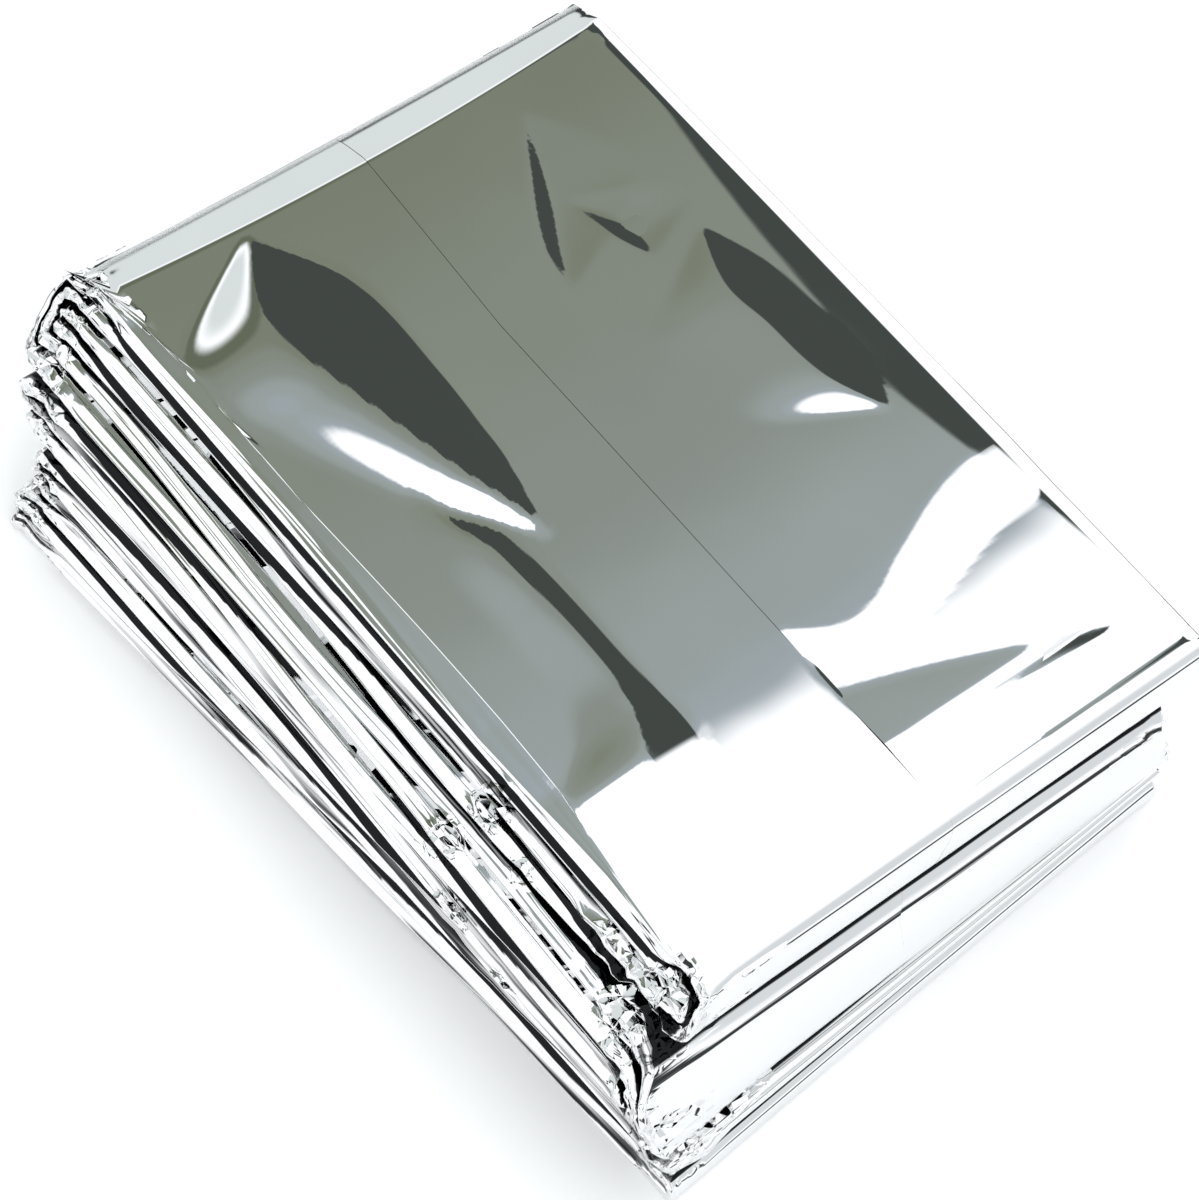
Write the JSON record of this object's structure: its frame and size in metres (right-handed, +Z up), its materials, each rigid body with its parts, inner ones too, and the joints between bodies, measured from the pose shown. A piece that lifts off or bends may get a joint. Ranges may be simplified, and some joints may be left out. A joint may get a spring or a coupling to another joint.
{
  "type": "emergency foil blanket",
  "caption": "Emergency foil blanket of thin metallised film, folded back and forth many times into a flat rectangular pack.",
  "frame": {"origin": "middle of the bounding box's foot, on the surface that the folded blanket lies on", "axes": "+X along the pack to its front end, the end with the deep square-faced folds; +Y across the pack to its straighter long side; +Z up"},
  "size_m": [0.1468, 0.1068, 0.0331],
  "materials": {
    "silver_foil": "mirror-bright, finely crinkled"
  },
  "bodies": {
    "root": {"foil_blanket": "silver_foil"}
  },
  "joints": []
}
